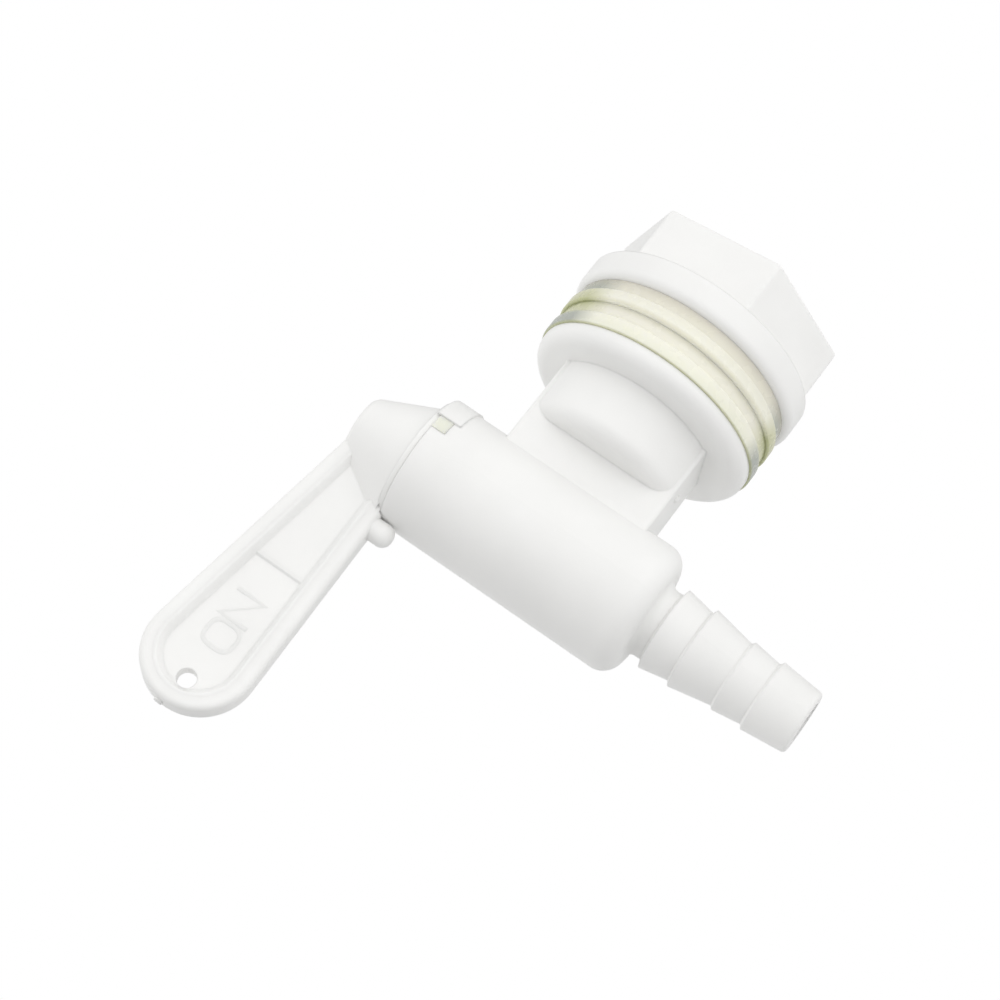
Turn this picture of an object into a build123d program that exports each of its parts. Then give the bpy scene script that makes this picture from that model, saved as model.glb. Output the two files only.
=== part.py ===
from build123d import *
import os
from math import asin, atan, cos, degrees, radians, sin

# A plastic lever tap for a fermenting bucket or a cask: an upright barrel with a barbed spout, a flanged
# inlet stem with two stepped silicone gaskets and a hexagon nut, and a lever whose hollow plug turns in the
# barrel. Millimetres. The origin is the centre of the flange face that seats against the wall, +Y points into
# the vessel along the stem, +Z points up along the barrel and the lever points to -Y when the tap is open.

# Clearances
running_clearance = 0.08
end_clearance = 0.35
seam_clearance = 0.05
finger_clearance = 0.15
notch_clearance = 0.02
gasket_clearance = 0.10

# Barrel
barrel_dia = 20.0
barrel_offset = 25.6
barrel_above = 20.2
barrel_below = 18.3
barrel_end_round = 3.0
barrel_floor = 2.2

# Barbed spout: each barb runs from its sharp crest down to the root before the next one
spout_neck_dia = 10.6
spout_neck_length = 2.5
spout_root_round = 1.2
spout_tip_round = 0.7
spout_bore_dia = 6.8
barb_step = 0.4
barb_lengths = (4.3, 6.3, 4.3, 6.7)
barb_crest_dias = (12.7, 12.5, 11.0, 10.9)
barb_root_dias = (11.1, 10.1, 9.8, 9.6)

# Inlet neck: a flat-sided block on the barrel that swells into a shoulder under the flange
neck_width = 12.0
neck_height = 23.5
neck_lift = 0.25
neck_edge_round = 0.5
neck_root_round = 3.0
neck_root_inset = 0.25
shoulder_reach = 12.0
shoulder_swell = 5.9
shoulder_margin = 0.65
shoulder_tuck = 3.0
shoulder_round = 2.4
shoulder_wall = 2.4
port_dia = 8.0

# Wall flange and stem
flange_dia = 35.2
flange_thickness = 2.65
flange_front_round = 2.0
shank_dia = 25.0
thread_depth = 0.9
stem_length = 21.6
stem_bore_dia = 19.0
stem_chamfer = 0.6

# Gaskets
gasket_lip_dia = 35.9
gasket_lip_height = 2.3
gasket_shoulder_dia = 34.9
gasket_height = 4.3
gasket_round = 0.35

# Nut
nut_flange_dia = 36.9
nut_flange_height = 4.6
nut_flange_round = 1.4
nut_height = 13.6
nut_flange_ledge = 0.45
nut_turn = 41.3
nut_edge_round = 0.6
nut_thread_clearance = 0.1

# Plug and its seal
plug_bore_dia = 15.2
plug_wall = 1.9
plug_hollow_top = 15.0
snap_bead_height = 11.0
snap_bead_width = 1.6
snap_bead_rise = 0.3
seal_width = 1.3
seal_height = 3.0
seal_seat_depth = 3.0

# Lever head
collar_dia = 19.2
collar_height = 0.9
head_base_dia = 17.6
head_top_dia = 8.3
head_height = 10.35
head_top_chamfer = 0.5
head_flank_angle = 45.0
flank_lift = 0.6

# Lever paddle, measured from the barrel's axis and the inlet's axis
paddle_thickness = 4.0
paddle_root_low = 20.05
paddle_root_drop = 0.45
paddle_reach = 48.8
paddle_tip_round = 8.3
paddle_tip_height = 27.3
paddle_edge_round = 0.9
recess_rim = 2.2
recess_depth = 0.8
recess_floor_round = 0.5
label_rim = 2.75
label_depth = 0.25
label_end = 24.4
tag_hole_dia = 2.8
tag_hole_margin = 4.4
tag_hole_height = 26.7
gate_mark_dia = 1.3
gate_mark_rise = 0.3
gate_mark_height = 28.0

# Stops: a finger under the lever meets the ends of a rib round the back of the barrel
finger_dia = 3.5
finger_drop = 3.4
finger_round = 1.5
rib_rise = 0.3
rib_start_angle = 24.0
rib_above = 0.6
rib_below = 3.2
rib_round = 0.25
notch_angle = 17.0
notch_width = 2.4
notch_depth = 2.2

# Derived places
barrel_radius = barrel_dia / 2
barrel_axis = Axis((0, -barrel_offset, 0), (0, 0, 1))
barrel_section = Plane(origin=(0, -barrel_offset, 0), x_dir=(1, 0, 0), z_dir=(0, -1, 0))
spout_tip = -barrel_below - spout_neck_length - sum(barb_lengths) - barb_step * (len(barb_lengths) - 1)
barrel_floor_top = -barrel_below + barrel_floor
plug_bore_radius = plug_bore_dia / 2
plug_radius = plug_bore_radius - running_clearance
seal_outer_radius = plug_bore_radius + seal_width
seal_seat = barrel_above - seal_seat_depth
collar_low = barrel_above + seam_clearance
head_low = collar_low + flank_lift
head_top = collar_low + head_height
paddle_root_high = head_top - paddle_root_drop
inner_gasket_seat = gasket_height
nut_seat = 2 * gasket_height
shoulder_half = neck_height / 2 - shoulder_margin
shoulder_radius = (shoulder_half**2 + shoulder_swell**2) / (2 * shoulder_swell)
shoulder_centre = neck_width / 2 + shoulder_swell - shoulder_radius
shoulder_angle = degrees(asin(shoulder_half / shoulder_radius)) + shoulder_tuck
thread_root_radius = shank_dia / 2 - thread_depth


def place_on_barrel(x, y, z):
    """A point given from the barrel's axis."""
    return (x, y - barrel_offset, z)


def spout_outline():
    """Barrel and spout outline as radius and height, from the barrel's mouth to the spout's tip."""
    points = [(0, barrel_above), (barrel_radius, barrel_above), (barrel_radius, -barrel_below)]
    height = -barrel_below
    points.append((spout_neck_dia / 2, height))
    height -= spout_neck_length - barb_step
    points.append((spout_neck_dia / 2, height))
    for length, crest, root in zip(barb_lengths, barb_crest_dias, barb_root_dias):
        height -= barb_step
        points.append((crest / 2, height))
        height -= length
        points.append((root / 2, height))
    points.append((0, height))
    return points


def snap_bead(radius, rise):
    """Corner points of the shallow retaining bead on a bore or a plug, from the upper corner down."""
    half = snap_bead_width / 2
    return [
        (radius, snap_bead_height + half),
        (radius + rise, snap_bead_height + half - rise),
        (radius + rise, snap_bead_height - half + rise),
        (radius, snap_bead_height - half),
    ]


# Spigot body
with BuildPart() as spigot_body:
    # Flat-sided neck from the barrel to the flange, blended into the barrel
    with BuildSketch(Plane.XY.offset(neck_lift - neck_height / 2)) as neck_plan:
        with Locations((0, -barrel_offset)):
            Circle(barrel_radius - neck_root_inset)
        Rectangle(neck_width, barrel_offset, align=(Align.CENTER, Align.MAX))
        neck_roots = neck_plan.vertices().group_by(Axis.Y)[-2]
        fillet(neck_roots, neck_root_round)
    extrude(amount=neck_height)
    neck_ends = spigot_body.edges().group_by(Axis.Z)
    fillet(neck_ends[0] + neck_ends[-1], neck_edge_round)
    # Barrel and barbed spout
    with BuildSketch(barrel_section) as barrel_profile:
        with BuildLine():
            Polyline(*spout_outline(), close=True)
        make_face()
        barrel_corners = barrel_profile.vertices().group_by(Axis.X)[-1].sort_by(Axis.Y)
        fillet(barrel_corners[0], barrel_end_round)
        spout_root = barrel_profile.vertices().filter_by_position(
            Axis.Y, -barrel_below - 0.01, -barrel_below + 0.01
        ).sort_by(Axis.X)
        fillet(spout_root[0], spout_root_round)
        spout_end = barrel_profile.vertices().group_by(Axis.Y)[0].sort_by(Axis.X)
        fillet(spout_end[-1], spout_tip_round)
    revolve(axis=barrel_axis)
    # Swelling on each side of the neck, flush with the neck's upper and lower edges
    for side in (-1, 1):
        swell_axis = Axis((side * shoulder_centre, 0, neck_lift), (0, -side, 0))
        swell_x = side * cos(radians(shoulder_angle))
        swell_z = sin(radians(shoulder_angle))
        swell_plane = Plane(
            origin=swell_axis.position,
            x_dir=(swell_x, 0, -swell_z),
            z_dir=(swell_z, 0, swell_x),
        )
        with BuildSketch(swell_plane) as swell_profile:
            with BuildLine():
                Polyline(
                    (0, -shoulder_reach),
                    (shoulder_radius, -shoulder_reach),
                    (shoulder_radius, 0),
                    (0, 0),
                    close=True,
                )
            make_face()
            swell_end = swell_profile.vertices().group_by(Axis.Y)[0].sort_by(Axis.X)
            fillet(swell_end[-1], shoulder_round)
        revolve(axis=swell_axis, revolution_arc=2 * shoulder_angle)
    # Wall flange and stem
    with BuildSketch(Plane.XY) as inlet_profile:
        with BuildLine():
            Polyline(
                (0, -flange_thickness),
                (flange_dia / 2, -flange_thickness),
                (flange_dia / 2, 0),
                (shank_dia / 2, 0),
                (shank_dia / 2, nut_seat),
                (thread_root_radius, nut_seat + thread_depth),
                (thread_root_radius, stem_length),
                (0, stem_length),
                close=True,
            )
        make_face()
        flange_front = inlet_profile.vertices().group_by(Axis.X)[-1].sort_by(Axis.Y)
        fillet(flange_front[0], flange_front_round)
        stem_end = inlet_profile.vertices().group_by(Axis.Y)[-1].sort_by(Axis.X)
        chamfer(stem_end[-1], stem_chamfer)
    revolve(axis=Axis.Y)
    # Stop rib round the back of the barrel's mouth
    with BuildSketch(Plane((0, -barrel_offset, barrel_above - rib_below))):
        Circle(barrel_radius + rib_rise)
        Circle(collar_dia / 2 + end_clearance, mode=Mode.SUBTRACT)
        rib_x = 2 * barrel_dia * cos(radians(rib_start_angle))
        rib_y = 2 * barrel_dia * sin(radians(rib_start_angle))
        Polygon((0, 0), (rib_x, rib_y), (0, 2 * barrel_dia), (-rib_x, rib_y), align=None, mode=Mode.INTERSECT)
    extrude(amount=rib_below + rib_above)
    rib_edges = spigot_body.edges(Select.LAST).filter_by(GeomType.CIRCLE).group_by(Axis.Z)
    fillet(rib_edges[-1].sort_by(SortBy.RADIUS)[-1], rib_round)
    # Barrel bore with its seal seat and retaining groove, and the way down the spout
    with BuildSketch(barrel_section):
        with BuildLine():
            Polyline(
                (0, barrel_above + rib_above),
                (seal_outer_radius, barrel_above + rib_above),
                (seal_outer_radius, seal_seat),
                (plug_bore_radius, seal_seat),
                *snap_bead(plug_bore_radius, snap_bead_rise),
                (plug_bore_radius, barrel_floor_top),
                (spout_bore_dia / 2, barrel_floor_top),
                (spout_bore_dia / 2, spout_tip),
                (0, spout_tip),
                close=True,
            )
        make_face()
    revolve(axis=barrel_axis, mode=Mode.SUBTRACT)
    # Stem bore and the port into the barrel
    with BuildSketch(Plane.XY):
        with BuildLine():
            Polyline(
                (0, stem_length),
                (stem_bore_dia / 2, stem_length),
                (stem_bore_dia / 2, shoulder_wall - shoulder_reach),
                (port_dia / 2, shoulder_wall - shoulder_reach),
                (port_dia / 2, -barrel_offset),
                (0, -barrel_offset),
                close=True,
            )
        make_face()
    revolve(axis=Axis.Y, mode=Mode.SUBTRACT)
    # Notches beside the stop rib, where the seal can be seen
    for angle in (notch_angle, 180 - notch_angle):
        with Locations(Location(place_on_barrel(0, 0, barrel_above), (0, 0, angle))):
            with Locations((barrel_radius, 0, 0)):
                Box(2 * (barrel_radius - seal_outer_radius) + 1, notch_width, 2 * notch_depth, mode=Mode.SUBTRACT)
spigot_body.part.label = "spigot_body"

# Lever and plug
paddle_tip = (paddle_tip_round - paddle_reach, paddle_tip_height)
lever_section = Plane(origin=(0, -barrel_offset, 0), x_dir=(0, 1, 0), z_dir=(1, 0, 0))

with BuildSketch() as paddle_outline:
    with Locations(paddle_tip):
        Circle(paddle_tip_round)
    with Locations((0, paddle_root_low)):
        Rectangle(head_top_dia / 2, paddle_root_high - paddle_root_low, align=(Align.MAX, Align.MIN))
    make_hull()

with BuildSketch() as recess_outline:
    offset(paddle_outline.sketch, amount=-recess_rim)

with BuildSketch() as label_outline:
    offset(paddle_outline.sketch, amount=-label_rim)
    with Locations((-label_end, 0)):
        Rectangle(2 * paddle_reach, 4 * paddle_reach, align=(Align.MAX, Align.CENTER), mode=Mode.INTERSECT)

head_slope = (head_base_dia - head_top_dia) / 2 / head_height
head_low_radius = head_base_dia / 2 - flank_lift * head_slope
head_edge_radius = head_top_dia / 2 + head_top_chamfer * head_slope


def head_section(radius):
    """Draw the head's section: a circle with two flanks that meet on the paddle's middle plane."""
    Circle(radius)
    flank_x = radius * cos(radians(head_flank_angle))
    flank_y = radius * sin(radians(head_flank_angle))
    flank_point = radius / sin(radians(head_flank_angle))
    Polygon((-flank_x, -flank_y), (0, -flank_point), (flank_x, -flank_y), (0, 0), align=None)


with BuildPart() as lever_plug:
    # Paddle with rounded edges and, on each face, a shallow recess with a slightly deeper panel for lettering
    with BuildSketch(lever_section):
        add(paddle_outline.sketch)
    extrude(amount=paddle_thickness / 2, both=True)
    fillet(lever_plug.edges().group_by(Axis.X)[0] + lever_plug.edges().group_by(Axis.X)[-1], paddle_edge_round)
    for side in (-1, 1):
        recess_floor = side * (paddle_thickness / 2 - recess_depth)
        with BuildSketch(lever_section.offset(recess_floor)):
            add(recess_outline.sketch)
        extrude(amount=side * recess_depth, mode=Mode.SUBTRACT)
        fillet(lever_plug.edges(Select.LAST).group_by(Axis.X)[-1 if side < 0 else 0], recess_floor_round)
        with BuildSketch(lever_section.offset(recess_floor)):
            add(label_outline.sketch)
        extrude(amount=-side * label_depth, mode=Mode.SUBTRACT)
    with Locations(lever_section):
        with Locations((tag_hole_margin - paddle_reach, tag_hole_height)):
            Hole(tag_hole_dia / 2)
    # Gate mark left by the mould on the paddle's tip
    with Locations(Location(place_on_barrel(0, -paddle_reach - gate_mark_rise, gate_mark_height), (-90, 0, 0))):
        Cylinder(gate_mark_dia / 2, recess_rim, align=(Align.CENTER, Align.CENTER, Align.MIN))
    # Round stop finger below the paddle's root
    finger_place = -barrel_radius - finger_clearance - finger_dia / 2
    with Locations(place_on_barrel(0, finger_place, paddle_root_low - finger_drop)):
        Cylinder(finger_dia / 2, finger_drop + paddle_thickness / 2, align=(Align.CENTER, Align.CENTER, Align.MIN))
    fillet(lever_plug.edges().group_by(Axis.Z)[0], finger_round)
    # Room for the barrel's mouth under the paddle's root and behind the finger
    with Locations(place_on_barrel(0, 0, collar_low)):
        Cylinder(
            barrel_radius + finger_clearance,
            collar_low,
            align=(Align.CENTER, Align.CENTER, Align.MAX),
            mode=Mode.SUBTRACT,
        )
    # Tapered head, with flanks that run from the cone to the paddle and a bevelled top
    with BuildSketch(Plane(place_on_barrel(0, 0, head_low))):
        head_section(head_low_radius)
    extrude(amount=head_top - head_top_chamfer - head_low, taper=degrees(atan(head_slope)))
    with BuildSketch(Plane(place_on_barrel(0, 0, head_top - head_top_chamfer))):
        head_section(head_edge_radius)
    extrude(amount=head_top_chamfer, taper=45)
    # Collar over the barrel's mouth and the hollow plug with its retaining bead
    with BuildSketch(barrel_section):
        with BuildLine():
            Polyline(
                (0, collar_low + collar_height),
                (collar_dia / 2, collar_low + collar_height),
                (collar_dia / 2, collar_low),
                (plug_radius, collar_low),
                *snap_bead(plug_radius, snap_bead_rise),
                (plug_radius, barrel_floor_top + end_clearance),
                (plug_radius - plug_wall, barrel_floor_top + end_clearance),
                (plug_radius - plug_wall, plug_hollow_top),
                (0, plug_hollow_top),
                close=True,
            )
        make_face()
    revolve(axis=barrel_axis)
    # Side port that faces the inlet when the tap is open
    with BuildSketch(Plane.XZ.offset(barrel_offset)):
        Circle(port_dia / 2)
    extrude(amount=-barrel_radius, mode=Mode.SUBTRACT)
lever_plug.part.label = "lever_plug"

# Seal in the barrel's mouth, with a lug in each notch
with BuildPart() as collar_seal:
    with BuildSketch(Plane(place_on_barrel(0, 0, seal_seat))):
        Circle(seal_outer_radius)
        Circle(plug_radius + running_clearance, mode=Mode.SUBTRACT)
    extrude(amount=seal_height)
    for angle in (notch_angle, 180 - notch_angle):
        with Locations(Location(place_on_barrel(0, 0, seal_seat + seal_height), (0, 0, angle))):
            with Locations((seal_outer_radius - seal_width / 2, 0, 0)):
                Box(
                    barrel_radius - seal_outer_radius + seal_width / 2,
                    notch_width - 2 * notch_clearance,
                    seal_seat + seal_height - barrel_above + notch_depth - notch_clearance,
                    align=(Align.MIN, Align.CENTER, Align.MAX),
                )
collar_seal.part.label = "collar_seal"


def gasket_profile(seat):
    """Half section of a stepped gasket: a wide lip on the seat and a narrower shoulder beyond it."""
    bore = shank_dia / 2 + gasket_clearance
    with BuildSketch(Plane.XY) as profile:
        with BuildLine():
            Polyline(
                (bore, seat),
                (gasket_lip_dia / 2, seat),
                (gasket_lip_dia / 2, seat + gasket_lip_height),
                (gasket_shoulder_dia / 2, seat + gasket_lip_height),
                (gasket_shoulder_dia / 2, seat + gasket_height),
                (bore, seat + gasket_height),
                close=True,
            )
        make_face()
        fillet(profile.vertices().group_by(Axis.X)[-1], gasket_round)
    return profile.sketch


with BuildPart() as outer_gasket:
    add(gasket_profile(0))
    revolve(axis=Axis.Y)
outer_gasket.part.label = "outer_gasket"

with BuildPart() as inner_gasket:
    add(gasket_profile(inner_gasket_seat))
    revolve(axis=Axis.Y)
inner_gasket.part.label = "inner_gasket"

# Flanged hexagon nut
with BuildPart() as hex_nut:
    with BuildSketch(Plane.XZ.offset(-nut_seat)):
        RegularPolygon(nut_flange_dia / 2 - nut_flange_ledge, 6, rotation=nut_turn)
    extrude(amount=-nut_height)
    fillet(hex_nut.edges().filter_by(Axis.Y), nut_edge_round)
    fillet(hex_nut.edges().group_by(Axis.Y)[-1], nut_edge_round)
    with BuildSketch(Plane.XZ.offset(-nut_seat)):
        Circle(nut_flange_dia / 2)
    extrude(amount=-nut_flange_height)
    fillet(hex_nut.edges().group_by(Axis.Y)[0], nut_flange_round)
    with Locations(Location((0, nut_seat, 0), (-90, 0, 0))):
        Cylinder(
            shank_dia / 2 + nut_thread_clearance,
            nut_height,
            align=(Align.CENTER, Align.CENTER, Align.MIN),
            mode=Mode.SUBTRACT,
        )
hex_nut.part.label = "hex_nut"

os.makedirs("parts", exist_ok=True)
export_step(spigot_body.part, "parts/spigot_body.step")
export_step(lever_plug.part, "parts/lever_plug.step")
export_step(collar_seal.part, "parts/collar_seal.step")
export_step(outer_gasket.part, "parts/outer_gasket.step")
export_step(inner_gasket.part, "parts/inner_gasket.step")
export_step(hex_nut.part, "parts/hex_nut.step")
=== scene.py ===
import math

import bmesh
import bpy
from mathutils import Matrix, Vector


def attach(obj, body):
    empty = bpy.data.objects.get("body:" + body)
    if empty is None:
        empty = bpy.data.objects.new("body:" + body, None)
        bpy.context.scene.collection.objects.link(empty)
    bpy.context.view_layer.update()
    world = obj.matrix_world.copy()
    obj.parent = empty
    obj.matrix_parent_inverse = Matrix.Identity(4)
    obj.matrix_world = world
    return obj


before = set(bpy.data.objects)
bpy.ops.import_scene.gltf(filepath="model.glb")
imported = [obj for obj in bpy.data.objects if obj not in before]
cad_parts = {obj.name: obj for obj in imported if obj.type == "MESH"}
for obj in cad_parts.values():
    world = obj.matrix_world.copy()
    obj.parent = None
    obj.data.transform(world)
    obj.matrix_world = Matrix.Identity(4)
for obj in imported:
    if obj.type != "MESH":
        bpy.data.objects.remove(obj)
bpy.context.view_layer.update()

MM = 0.001

# Sizes in millimetres. Places on the paddle are (across, high) from the barrel's axis and middle
BARREL_OFFSET = 25.6
LABEL_FLOOR = 0.95
LETTER_RISE = 0.06
LETTER_SINK = 0.05
LETTER_STROKE = 0.75
LETTER_MITRE = 0.75
LETTER_STEPS = 8
O_CENTRE = (-36.9, 26.7)
O_SIZE = (4.0, 4.6)
O_SQUARENESS = 3.0
N_CENTRE = (-32.2, 26.8)
N_SIZE = (4.2, 4.6)
TIP_CENTRE = (-40.5, 27.3)
TIP_RADIUS = 8.3
ROOT_TOP = (0.0, 30.15)
ROOT_LOW = (0.0, 20.05)
HEAD_COVER = -5.0
RIM_FACE = 2.0
POCKET_RIM = 2.2
POCKET_FLOOR = 1.2
WALL_SLOPE = 1.1
LABEL_END = -24.4
LABEL_SLOPE = 0.4
SLOPE_STEPS = 12
SLOPE_SINK = 0.1
SLOPE_LAP = 0.35
SLOPE_FILM = 0.004
TAG_HOLE = (-44.4, 26.7)
TAG_HOLE_ROOM = 1.55
EDGE_SOFTNESS = 0.4
FINE_SOFTNESS = 0.03
THREAD_PITCH = 2.5
THREAD_BASE = 0.85
THREAD_TIP = 0.3
THREAD_ROOT_DEPTH = 0.1
STEM_ROOT = 11.6
STEM_CREST = 12.4
STEM_RUN = (10.6, 20.3)
NUT_ROOT = 12.6
NUT_CREST = 11.8
NUT_RUN = (9.9, 20.9)
GASKET_RUN = (0.0, 8.6)
# Direction whose square plane through the axis marks the gaskets' limbs, which get painted shade, and the
# distances from that plane in millimetres over which the painted shade fades out
LIMB_SHADE_FACING = (0.98, 0.0, -0.2)
LIMB_SHADE_SPAN = (8.0, 12.0)
PIP_CENTRE = (1.6, -9.3, -11.5)
PIP_RADIUS = 0.6
PIP_RISE = 0.45

# Angle in degrees from which an edge of an added piece stays sharp
SHARP_ANGLE = 35

# Floor and camera, in millimetres and in the part's own frame
FLOOR_CENTRE = (0.0, -30.0, -160.0)
FLOOR_RADIUS = 340.0
FLOOR_SOLID = 100.0
FLOOR_SEGMENTS = 128
CAMERA_PLACE = (323.98, -145.36, -57.78)
CAMERA_RIGHT = (0.0525, 0.5803, -0.8127)
CAMERA_BACK = (0.9193, -0.3458, -0.1876)
CAMERA_SENSOR = 36.0
CAMERA_LENS = 91.34
CAMERA_NEAR = 10.0

# Patches of the surfaces, in noise cells per metre, and the span of the noise that is used
PLASTIC_CLOUD = 90
PLASTIC_PATCH = 260
PLASTIC_GRAIN = 2600
SILICONE_PATCH = 400
SILICONE_GRAIN = 1400
SEAL_CLOUD = 150
FLOOR_CLOUD = 12
NOISE_SPAN = (0.3, 0.7)

# Darker and lighter shade of each plain surface, and how far its roughness varies
PLASTIC_SHADES = ((0.852, 0.850, 0.836), (0.882, 0.880, 0.866))
SEAL_SHADES = ((0.79, 0.80, 0.68), (0.84, 0.85, 0.74))
FLOOR_SHADES = ((0.86, 0.86, 0.86), (0.9, 0.9, 0.9))
PLASTIC_ROUGHNESS = (0.36, 0.46)
SILICONE_ROUGHNESS = (0.22, 0.32)

# Colours across the two gaskets, from the wall flange at 0 to the nut at 1
# Facing toward or away from the facing direction: cream tint; the olive lines at the flange (0) and where the
# two gaskets meet (0.5) are olive tint with painted shade, and the tan band toward the nut (0.8 to 1) is a
# painted shadow under the nut's flange
MIDDLE_TINT_AND_SHADE = (
    (0.0, (0.60, 0.60, 0.38)),
    (0.03, (0.84, 0.84, 0.70)),
    (0.18, (0.86, 0.85, 0.74)),
    (0.38, (0.82, 0.80, 0.70)),
    (0.47, (0.74, 0.72, 0.58)),
    (0.50, (0.84, 0.83, 0.72)),
    (0.53, (0.74, 0.72, 0.58)),
    (0.60, (0.86, 0.85, 0.75)),
    (0.80, (0.78, 0.76, 0.66)),
    (1.0, (0.66, 0.63, 0.53)),
)
# At the rings' limbs: painted shade over the same run, with the olive tint darkened to olive and grey
LIMB_SHADE_BANDS = (
    (0.0, (0.44, 0.46, 0.26)),
    (0.04, (0.40, 0.42, 0.38)),
    (0.20, (0.42, 0.44, 0.39)),
    (0.28, (0.64, 0.64, 0.46)),
    (0.45, (0.54, 0.55, 0.33)),
    (0.50, (0.44, 0.46, 0.25)),
    (0.55, (0.54, 0.55, 0.33)),
    (0.72, (0.64, 0.64, 0.46)),
    (0.80, (0.42, 0.44, 0.39)),
    (1.0, (0.46, 0.45, 0.37)),
)

# Light that the studio sends from each direction d: BASE + d.(SLOPE + CURVE d), and never under DARKEST
BASE = 0.840
SLOPE = (0.230, 0.156, -0.005)
CURVE = (
    (0.283, 0.197, -0.147),
    (0.197, -0.315, -0.342),
    (-0.147, -0.342, 0.213),
)
DARKEST = 0.05


# Material helpers
def new_material(name):
    mat = bpy.data.materials.new(name)
    mat.use_nodes = True
    nodes, links = mat.node_tree.nodes, mat.node_tree.links
    coords = nodes.new("ShaderNodeTexCoord").outputs["Object"]
    return mat, nodes, links, nodes["Principled BSDF"], coords


def noise(nodes, links, coords, scale, detail=4.0):
    node = nodes.new("ShaderNodeTexNoise")
    node.inputs["Scale"].default_value = scale
    node.inputs["Detail"].default_value = detail
    links.new(coords, node.inputs["Vector"])
    return node.outputs["Fac"]


def map_range(nodes, links, value, source, target=(0.0, 1.0)):
    """The value moved from its source span to the target span."""
    node = nodes.new("ShaderNodeMapRange")
    node.inputs["From Min"].default_value = source[0]
    node.inputs["From Max"].default_value = source[1]
    node.inputs["To Min"].default_value = target[0]
    node.inputs["To Max"].default_value = target[1]
    links.new(value, node.inputs["Value"])
    return node


def ramp(nodes, links, value, stops):
    node = nodes.new("ShaderNodeValToRGB")
    elements = node.color_ramp.elements
    while len(elements) < len(stops):
        elements.new(1.0)
    for element, (position, colour) in zip(elements, stops):
        element.position = position
        element.color = (*colour, 1)
    links.new(value, node.inputs["Fac"])
    return node.outputs["Color"]


def clouded(nodes, links, coords, scale, shades):
    """A colour that drifts between two shades."""
    cloud = noise(nodes, links, coords, scale)
    return ramp(nodes, links, cloud, tuple(zip(NOISE_SPAN, shades)))


def rough_patches(nodes, links, coords, scale, roughness):
    """A roughness that drifts between two values."""
    patch = noise(nodes, links, coords, scale)
    return map_range(nodes, links, patch, NOISE_SPAN, roughness).outputs["Result"]


def bump(nodes, links, shader, height, strength, distance, normal=None):
    node = nodes.new("ShaderNodeBump")
    node.inputs["Strength"].default_value = strength
    node.inputs["Distance"].default_value = distance
    links.new(height, node.inputs["Height"])
    if normal:
        links.new(normal, node.inputs["Normal"])
    links.new(node.outputs["Normal"], shader.inputs["Normal"])


# Materials
def white_plastic(name, edge_softness):
    mat, nodes, links, shader, coords = new_material(name)
    links.new(clouded(nodes, links, coords, PLASTIC_CLOUD, PLASTIC_SHADES), shader.inputs["Base Color"])
    roughness = rough_patches(nodes, links, coords, PLASTIC_PATCH, PLASTIC_ROUGHNESS)
    links.new(roughness, shader.inputs["Roughness"])
    soft_edge = nodes.new("ShaderNodeBevel")
    soft_edge.samples = 8
    soft_edge.inputs["Radius"].default_value = edge_softness * MM
    grain = noise(nodes, links, coords, PLASTIC_GRAIN, detail=2.0)
    bump(nodes, links, shader, grain, strength=0.12, distance=0.06 * MM, normal=soft_edge.outputs["Normal"])
    shader.inputs["IOR"].default_value = 1.49
    shader.inputs["Specular IOR Level"].default_value = 0.3
    shader.inputs["Subsurface Weight"].default_value = 0.15
    shader.inputs["Subsurface Radius"].default_value = (1.0, 1.0, 1.0)
    shader.inputs["Subsurface Scale"].default_value = 1.2 * MM
    return mat


def silicone(name):
    mat, nodes, links, shader, coords = new_material(name)
    roughness = rough_patches(nodes, links, coords, SILICONE_PATCH, SILICONE_ROUGHNESS)
    links.new(roughness, shader.inputs["Roughness"])
    grain = noise(nodes, links, coords, SILICONE_GRAIN, detail=2.0)
    bump(nodes, links, shader, grain, strength=0.1, distance=0.05 * MM)
    shader.inputs["IOR"].default_value = 1.41
    shader.inputs["Subsurface Weight"].default_value = 0.5
    shader.inputs["Subsurface Radius"].default_value = (1.0, 1.0, 0.8)
    shader.inputs["Subsurface Scale"].default_value = 1.5 * MM
    return mat, nodes, links, shader, coords


def gasket_silicone():
    """Cream where the white stem shines through; painted shade in olive and grey at the rings' limbs, olive
    tint with painted shade in the lines at the flange and between the gaskets, and a tan painted shadow
    toward the nut.
    """
    mat, nodes, links, shader, coords = silicone("gasket_silicone")
    place = nodes.new("ShaderNodeSeparateXYZ")
    links.new(coords, place.inputs["Vector"])
    run = [end * MM for end in GASKET_RUN]
    along = map_range(nodes, links, place.outputs["Y"], run).outputs["Result"]
    # Painted shade at the rings' limbs: points near the plane through the axis square to the facing direction
    # take the limb colours, and points farther than the span take the middle colours
    facing = nodes.new("ShaderNodeVectorMath")
    facing.operation = "DOT_PRODUCT"
    facing.inputs[1].default_value = LIMB_SHADE_FACING
    links.new(coords, facing.inputs[0])
    depth = nodes.new("ShaderNodeMath")
    depth.operation = "ABSOLUTE"
    links.new(facing.outputs["Value"], depth.inputs[0])
    edge = [end * MM for end in LIMB_SHADE_SPAN]
    clear = map_range(nodes, links, depth.outputs["Value"], edge).outputs["Result"]
    mix = nodes.new("ShaderNodeMix")
    mix.data_type = "RGBA"
    links.new(clear, mix.inputs["Factor"])
    limb_shade_socket, middle_socket = [socket for socket in mix.inputs if socket.type == "RGBA"]
    links.new(ramp(nodes, links, along, LIMB_SHADE_BANDS), limb_shade_socket)
    links.new(ramp(nodes, links, along, MIDDLE_TINT_AND_SHADE), middle_socket)
    mixed = next(socket for socket in mix.outputs if socket.type == "RGBA")
    links.new(mixed, shader.inputs["Base Color"])
    return mat


def seal_silicone():
    mat, nodes, links, shader, coords = silicone("seal_silicone")
    links.new(clouded(nodes, links, coords, SEAL_CLOUD, SEAL_SHADES), shader.inputs["Base Color"])
    return mat


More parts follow.
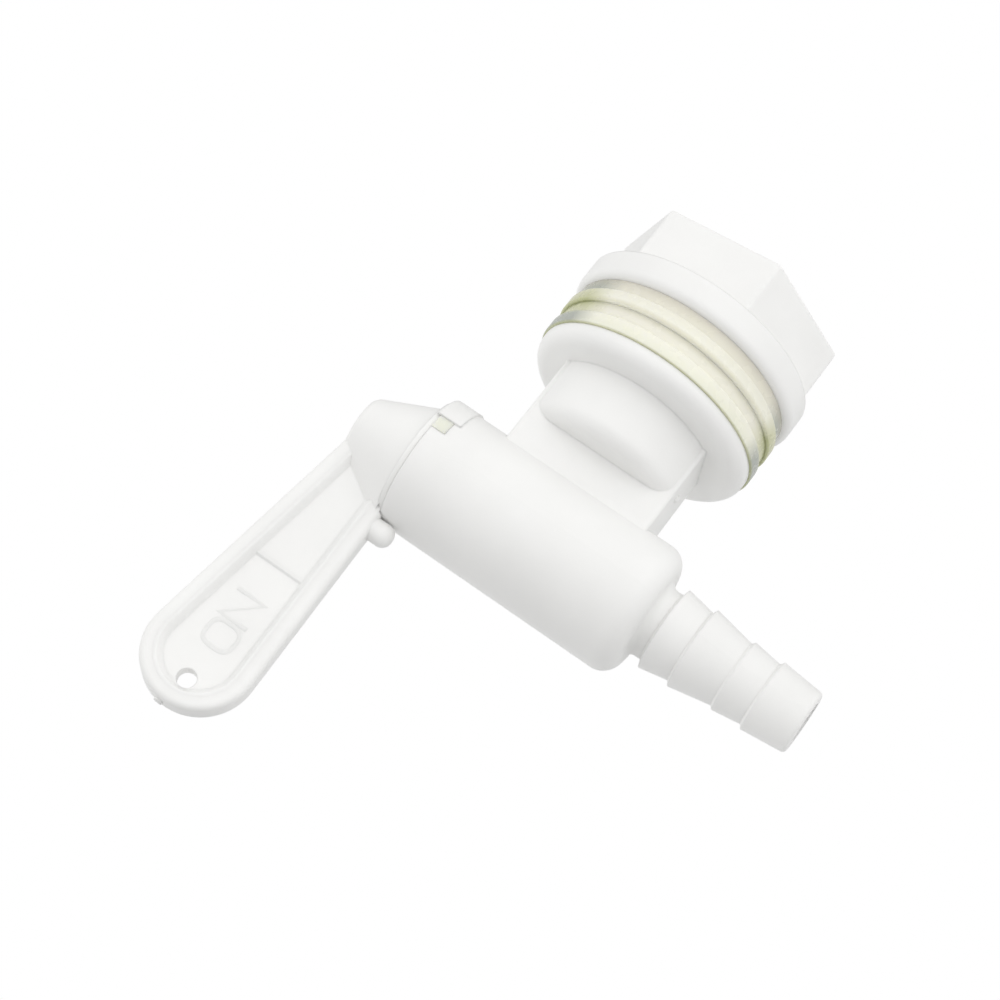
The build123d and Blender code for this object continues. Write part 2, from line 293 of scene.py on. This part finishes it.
def pale_floor():
    """Matt and pale, fading out toward the floor's edge."""
    mat, nodes, links, shader, coords = new_material("pale_floor")
    links.new(clouded(nodes, links, coords, FLOOR_CLOUD, FLOOR_SHADES), shader.inputs["Base Color"])
    shader.inputs["Roughness"].default_value = 0.9
    reach = nodes.new("ShaderNodeVectorMath")
    reach.operation = "LENGTH"
    links.new(coords, reach.inputs[0])
    faded = (FLOOR_SOLID * MM, FLOOR_RADIUS * MM)
    fade = map_range(nodes, links, reach.outputs["Value"], faded, (1.0, 0.0))
    fade.interpolation_type = "SMOOTHSTEP"
    links.new(fade.outputs["Result"], shader.inputs["Alpha"])
    return mat


WHITE = white_plastic("white_plastic", EDGE_SOFTNESS)
FINE_WHITE = white_plastic("fine_white_plastic", FINE_SOFTNESS)
GASKET = gasket_silicone()
LOOKS = {
    "spigot_body": WHITE,
    "lever_plug": WHITE,
    "collar_seal": seal_silicone(),
    "outer_gasket": GASKET,
    "inner_gasket": GASKET,
    "hex_nut": WHITE,
}
for name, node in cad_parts.items():
    node.data.materials.clear()
    node.data.materials.append(LOOKS[name])


# Pieces
def add_mesh(name, form, material, body):
    mesh = bpy.data.meshes.new(name)
    bmesh.ops.recalc_face_normals(form, faces=form.faces)
    form.to_mesh(mesh)
    form.free()
    mesh.materials.append(material)
    mesh.shade_smooth()
    mesh.set_sharp_from_angle(angle=math.radians(SHARP_ANGLE))
    obj = bpy.data.objects.new(name, mesh)
    bpy.context.collection.objects.link(obj)
    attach(obj, body)


def sweep(name, rings, closed, material, body):
    """A skin over a row of sections, each a closed ring of points in millimetres."""
    form = bmesh.new()
    rows = [[form.verts.new(Vector(point) * MM) for point in ring] for ring in rings]
    pairs = list(zip(rows, rows[1:]))
    if closed:
        pairs.append((rows[-1], rows[0]))
    else:
        form.faces.new(rows[0])
        form.faces.new(rows[-1])
    for this, following in pairs:
        for index in range(len(this)):
            form.faces.new((this[index - 1], this[index], following[index], following[index - 1]))
    add_mesh(name, form, material, body)


def on_lever(across, high, lift):
    """A point of the paddle, from the barrel's axis and middle and from the paddle's middle plane."""
    return (lift, across - BARREL_OFFSET, high)


def ridge(name, path, closed, centre):
    """A soft ridge along a path of (across, high) points on the label panel."""
    rings = []
    for index, point in enumerate(path):
        here = Vector(point)
        before = Vector(path[index - 1]) if closed or index else here
        after = Vector(path[(index + 1) % len(path)]) if closed or index < len(path) - 1 else here
        arriving = (here - before).normalized()
        leaving = (after - here).normalized()
        along = (arriving + leaving).normalized()
        side = Vector((-along.y, along.x))
        half = LETTER_STROKE / 2 / max(LETTER_MITRE, arriving.dot(along), leaving.dot(along))
        ring = []
        for step in range(LETTER_STEPS + 1):
            turn = math.pi * step / LETTER_STEPS
            spot = here + side * (half * math.cos(turn)) + Vector(centre)
            lift = LABEL_FLOOR - LETTER_SINK + (LETTER_RISE + LETTER_SINK) * math.sin(turn)
            ring.append(on_lever(*spot, lift))
        rings.append(ring)
    sweep(name, rings, closed, FINE_WHITE, "lever")


def rounded(value):
    """A sine or cosine bent so that an oval comes out squarer."""
    return math.copysign(abs(value) ** (2 / O_SQUARENESS), value)


def letters(steps=64):
    turns = [2 * math.pi * step / steps for step in range(steps)]
    wide, high = O_SIZE[0] / 2, O_SIZE[1] / 2
    oval = [(wide * rounded(math.cos(turn)), high * rounded(math.sin(turn))) for turn in turns]
    ridge("letter_o", oval, True, O_CENTRE)
    wide, high = N_SIZE[0] / 2, N_SIZE[1] / 2
    ridge("letter_n", [(-wide, -high), (-wide, high), (wide, -high), (wide, high)], False, N_CENTRE)


def smooth(value):
    value = min(1.0, max(0.0, value))
    return value * value * (3 - 2 * value)


def tangent_angle(corner, side):
    """Direction from the tip's centre to where the straight edge from a root corner meets the tip."""
    reach = Vector(corner) - Vector(TIP_CENTRE)
    return math.atan2(reach.y, reach.x) + side * math.acos(TIP_RADIUS / reach.length)


def pocket_path(steps=40):
    """Points of the pocket's wall and their outward directions, from the head round the tip and back."""
    first = tangent_angle(ROOT_TOP, 1)
    last = tangent_angle(ROOT_LOW, -1) + 2 * math.pi
    runs = []
    for corner, turn in ((ROOT_TOP, first), (ROOT_LOW, last)):
        out = Vector((math.cos(turn), math.sin(turn)))
        start = Vector(corner) - out * POCKET_RIM
        end = Vector(TIP_CENTRE) + out * (TIP_RADIUS - POCKET_RIM)
        begin = (HEAD_COVER - start.x) / (end.x - start.x)
        runs.append([(start.lerp(end, begin + (1 - begin) * step / steps), out) for step in range(steps)])
    arc = []
    for step in range(steps + 1):
        turn = first + (last - first) * step / steps
        out = Vector((math.cos(turn), math.sin(turn)))
        arc.append((Vector(TIP_CENTRE) + out * (TIP_RADIUS - POCKET_RIM), out))
    return runs[0] + arc + runs[1][::-1]


def wall_heights(across):
    """Heights of the pocket's upper and lower wall at a place along the paddle."""
    path = [start for start, out in pocket_path()]
    heights = []
    for this, following in zip(path, path[1:]):
        if min(this.x, following.x) <= across < max(this.x, following.x):
            share = (across - this.x) / (following.x - this.x)
            heights.append(this.lerp(following, share).y)
    return max(heights), min(heights)


def slope_ring(start, inward, width, top, bottom, side):
    """Section of a soft slope that laps the upper face and falls from top to bottom over its width."""
    ring = [on_lever(*(start - inward * SLOPE_LAP), side * top)]
    for step in range(SLOPE_STEPS + 1):
        share = step / SLOPE_STEPS
        spot = start + inward * (width * share)
        ring.append(on_lever(*spot, side * (top + (bottom - top) * smooth(share))))
    for spot in (start + inward * width, start - inward * SLOPE_LAP):
        ring.append(on_lever(*spot, side * (bottom - SLOPE_SINK)))
    return ring


def pocket_slopes(side, label):
    """Soft slopes from the paddle's rim to the pocket's floor and from there to the label panel."""
    rings = []
    for start, out in pocket_path():
        room = (start - Vector(TAG_HOLE)).length - TAG_HOLE_ROOM
        sunk = smooth((LABEL_END - start.x) / LABEL_SLOPE)
        bottom = POCKET_FLOOR + (LABEL_FLOOR - POCKET_FLOOR) * sunk
        rings.append(slope_ring(start, -out, min(WALL_SLOPE, room), RIM_FACE + SLOPE_FILM, bottom, side))
    sweep("pocket_slope_" + label, rings, False, FINE_WHITE, "lever")
    toward_tip = Vector((-1, 0))
    top = POCKET_FLOOR + SLOPE_FILM
    rings = []
    for high in wall_heights(LABEL_END):
        rings.append(slope_ring(Vector((LABEL_END, high)), toward_tip, LABEL_SLOPE, top, LABEL_FLOOR, side))
    sweep("label_slope_" + label, rings, False, FINE_WHITE, "lever")


def thread(name, body, root, crest, run, offset, steps=64):
    """A right-hand ridge round the Y axis whose crest fades in and out over a quarter turn."""
    buried = root - math.copysign(THREAD_ROOT_DEPTH, crest - root)
    first = math.ceil((run[0] - offset) / THREAD_PITCH * steps)
    last = math.floor((run[1] - offset) / THREAD_PITCH * steps)
    rings = []
    for step in range(first, last + 1):
        turn = 2 * math.pi * step / steps
        middle = offset + THREAD_PITCH * step / steps
        fade = min(1.0, (step - first) / (steps / 4), (last - step) / (steps / 4))
        top = root + (crest - root) * fade
        section = [(buried, -THREAD_BASE), (top, -THREAD_TIP), (top, THREAD_TIP), (buried, THREAD_BASE)]
        rings.append([(r * math.sin(turn), middle + along, r * math.cos(turn)) for r, along in section])
    sweep(name, rings, False, WHITE, body)


def mould_pip():
    """The low round pip under the inlet's neck."""
    form = bmesh.new()
    bmesh.ops.create_uvsphere(form, u_segments=24, v_segments=12, radius=PIP_RADIUS * MM)
    squash = Matrix.Diagonal((1, 1, PIP_RISE / PIP_RADIUS, 1))
    bmesh.ops.transform(form, matrix=Matrix.Translation(Vector(PIP_CENTRE) * MM) @ squash, verts=form.verts)
    add_mesh("mould_pip", form, FINE_WHITE, "tap")


letters()
pocket_slopes(1, "front")
pocket_slopes(-1, "back")
thread("stem_thread", "tap", STEM_ROOT, STEM_CREST, STEM_RUN, 0.0)
thread("nut_thread", "nut", NUT_ROOT, NUT_CREST, NUT_RUN, THREAD_PITCH / 2)
mould_pip()


# Floor, light and camera
def floor():
    mesh = bpy.data.meshes.new("floor")
    form = bmesh.new()
    bmesh.ops.create_circle(form, cap_ends=True, radius=FLOOR_RADIUS * MM, segments=FLOOR_SEGMENTS)
    form.to_mesh(mesh)
    form.free()
    mesh.materials.append(pale_floor())
    obj = bpy.data.objects.new("floor", mesh)
    obj.location = Vector(FLOOR_CENTRE) * MM
    bpy.context.collection.objects.link(obj)


def studio_light():
    """Soft light from all round that grows and fades slowly with direction, before a plain white backdrop."""
    world = bpy.data.worlds.new("studio")
    world.use_nodes = True
    nodes, links = world.node_tree.nodes, world.node_tree.links
    direction = nodes.new("ShaderNodeTexCoord").outputs["Generated"]
    curve = nodes.new("ShaderNodeCombineXYZ")
    for row, socket in zip(CURVE, curve.inputs):
        part = nodes.new("ShaderNodeVectorMath")
        part.operation = "DOT_PRODUCT"
        part.inputs[1].default_value = row
        links.new(direction, part.inputs[0])
        links.new(part.outputs["Value"], socket)
    slope = nodes.new("ShaderNodeVectorMath")
    slope.operation = "ADD"
    slope.inputs[1].default_value = SLOPE
    links.new(curve.outputs["Vector"], slope.inputs[0])
    change = nodes.new("ShaderNodeVectorMath")
    change.operation = "DOT_PRODUCT"
    links.new(direction, change.inputs[0])
    links.new(slope.outputs["Vector"], change.inputs[1])
    total = nodes.new("ShaderNodeMath")
    total.operation = "ADD"
    total.inputs[1].default_value = BASE
    links.new(change.outputs["Value"], total.inputs[0])
    strength = nodes.new("ShaderNodeMath")
    strength.operation = "MAXIMUM"
    strength.inputs[1].default_value = DARKEST
    links.new(total.outputs["Value"], strength.inputs[0])
    light = nodes["Background"]
    light.inputs["Color"].default_value = (1, 1, 1, 1)
    links.new(strength.outputs["Value"], light.inputs["Strength"])
    backdrop = nodes.new("ShaderNodeBackground")
    backdrop.inputs["Color"].default_value = (1, 1, 1, 1)
    choose = nodes.new("ShaderNodeMixShader")
    links.new(nodes.new("ShaderNodeLightPath").outputs["Is Camera Ray"], choose.inputs["Fac"])
    links.new(light.outputs["Background"], choose.inputs[1])
    links.new(backdrop.outputs["Background"], choose.inputs[2])
    links.new(choose.outputs["Shader"], nodes["World Output"].inputs["Surface"])
    bpy.context.scene.world = world


def camera():
    obj = bpy.data.objects.new("camera", bpy.data.cameras.new("camera"))
    obj.data.sensor_width = CAMERA_SENSOR
    obj.data.lens = CAMERA_LENS
    obj.data.clip_start = CAMERA_NEAR * MM
    right = Vector(CAMERA_RIGHT).normalized()
    back = Vector(CAMERA_BACK).normalized()
    up = back.cross(right).normalized()
    right = up.cross(back)
    turn = Matrix((right, up, back)).transposed()
    obj.matrix_world = Matrix.Translation(Vector(CAMERA_PLACE) * MM) @ turn.to_4x4()
    bpy.context.collection.objects.link(obj)
    bpy.context.scene.camera = obj


floor()
studio_light()
camera()
bpy.context.scene.view_settings.view_transform = "Standard"
